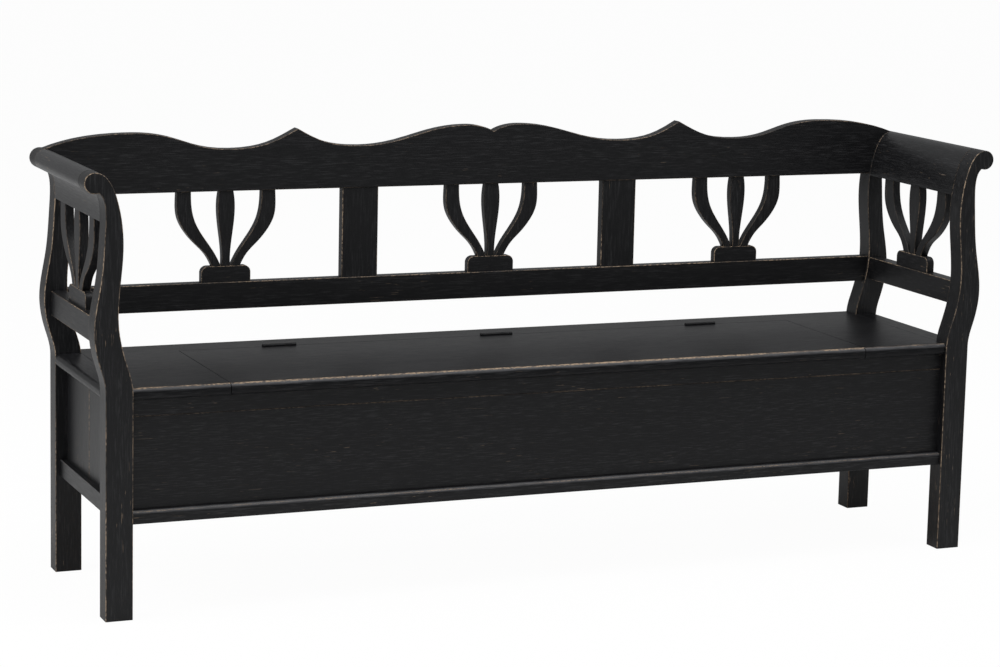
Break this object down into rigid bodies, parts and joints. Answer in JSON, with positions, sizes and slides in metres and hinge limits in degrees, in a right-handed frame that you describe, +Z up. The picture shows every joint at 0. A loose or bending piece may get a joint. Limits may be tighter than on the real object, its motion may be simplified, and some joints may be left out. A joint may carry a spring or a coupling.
{
  "type": "settle bench",
  "caption": "Long black wooden settle bench with scrolled arms, a wavy crest rail, fan-shaped splats in the back and sides, and a lift-up lid over a chest seat.",
  "frame": {"origin": "centre of the bounding box at floor level, under the feet", "axes": "+X along the bench to the right end as seen from the front, +Y from the front to the backrest, +Z up"},
  "size_m": [1.956, 0.433, 0.888],
  "materials": {
    "black_paint": "satin near-black paint on wood, rubbed through in thin lines along the edges",
    "bare_wood": "bare sawn softwood",
    "hinge_steel": "plain steel",
    "screw_steel": "plain steel"
  },
  "bodies": {
    "frame": {"arm_board_left": "black_paint", "arm_board_right": "black_paint", "arm_rail_left": "black_paint", "arm_rail_right": "black_paint", "back_bottom_rail": "black_paint", "back_centre_bar_left": "black_paint", "back_centre_bar_middle": "black_paint", "back_centre_bar_right": "black_paint", "back_centre_splat_base": "black_paint", "back_left_bar_left": "black_paint", "back_left_bar_middle": "black_paint", "back_left_bar_right": "black_paint", "back_left_splat_base": "black_paint", "back_lower_rail": "black_paint", "back_panel": "black_paint", "back_right_bar_left": "black_paint", "back_right_bar_middle": "black_paint", "back_right_bar_right": "black_paint", "back_right_splat_base": "black_paint", "back_stile_left": "black_paint", "back_stile_right": "black_paint", "back_top_rail": "black_paint", "chest_floor": "bare_wood", "crest_rail": "black_paint", "floor_cleat_back": "bare_wood", "floor_cleat_front": "bare_wood", "front_bottom_rail": "black_paint", "front_panel": "black_paint", "front_top_rail": "black_paint", "hinge_leaves_fixed": "hinge_steel", "hinge_pins": "hinge_steel", "hinge_screws_fixed": "screw_steel", "post_back_left": "black_paint", "post_back_right": "black_paint", "post_front_left": "black_paint", "post_front_right": "black_paint", "seat_end_board_left": "black_paint", "seat_end_board_right": "black_paint", "seat_hinge_strip": "black_paint", "seat_side_strip_left": "black_paint", "seat_side_strip_right": "black_paint", "side_bar_back_left": "black_paint", "side_bar_back_right": "black_paint", "side_bar_front_left": "black_paint", "side_bar_front_right": "black_paint", "side_bar_middle_left": "black_paint", "side_bar_middle_right": "black_paint", "side_board_back_left": "black_paint", "side_board_back_right": "black_paint", "side_board_front_left": "black_paint", "side_board_front_right": "black_paint", "side_bottom_rail_left": "black_paint", "side_bottom_rail_right": "black_paint", "side_splat_base_left": "black_paint", "side_splat_base_right": "black_paint"},
    "lid": {"seat_lid": "black_paint", "lid_batten_left": "bare_wood", "lid_batten_right": "bare_wood", "hinge_leaves_moving": "hinge_steel", "hinge_screws_moving": "screw_steel"}
  },
  "joints": [
    {"name": "lid_hinge", "type": "hinge", "parent": "frame", "child": "lid", "pos_m": [0, 0.14375, 0.4472], "axis": [-1, 0, 0], "range_deg": [0, 95]}
  ]
}
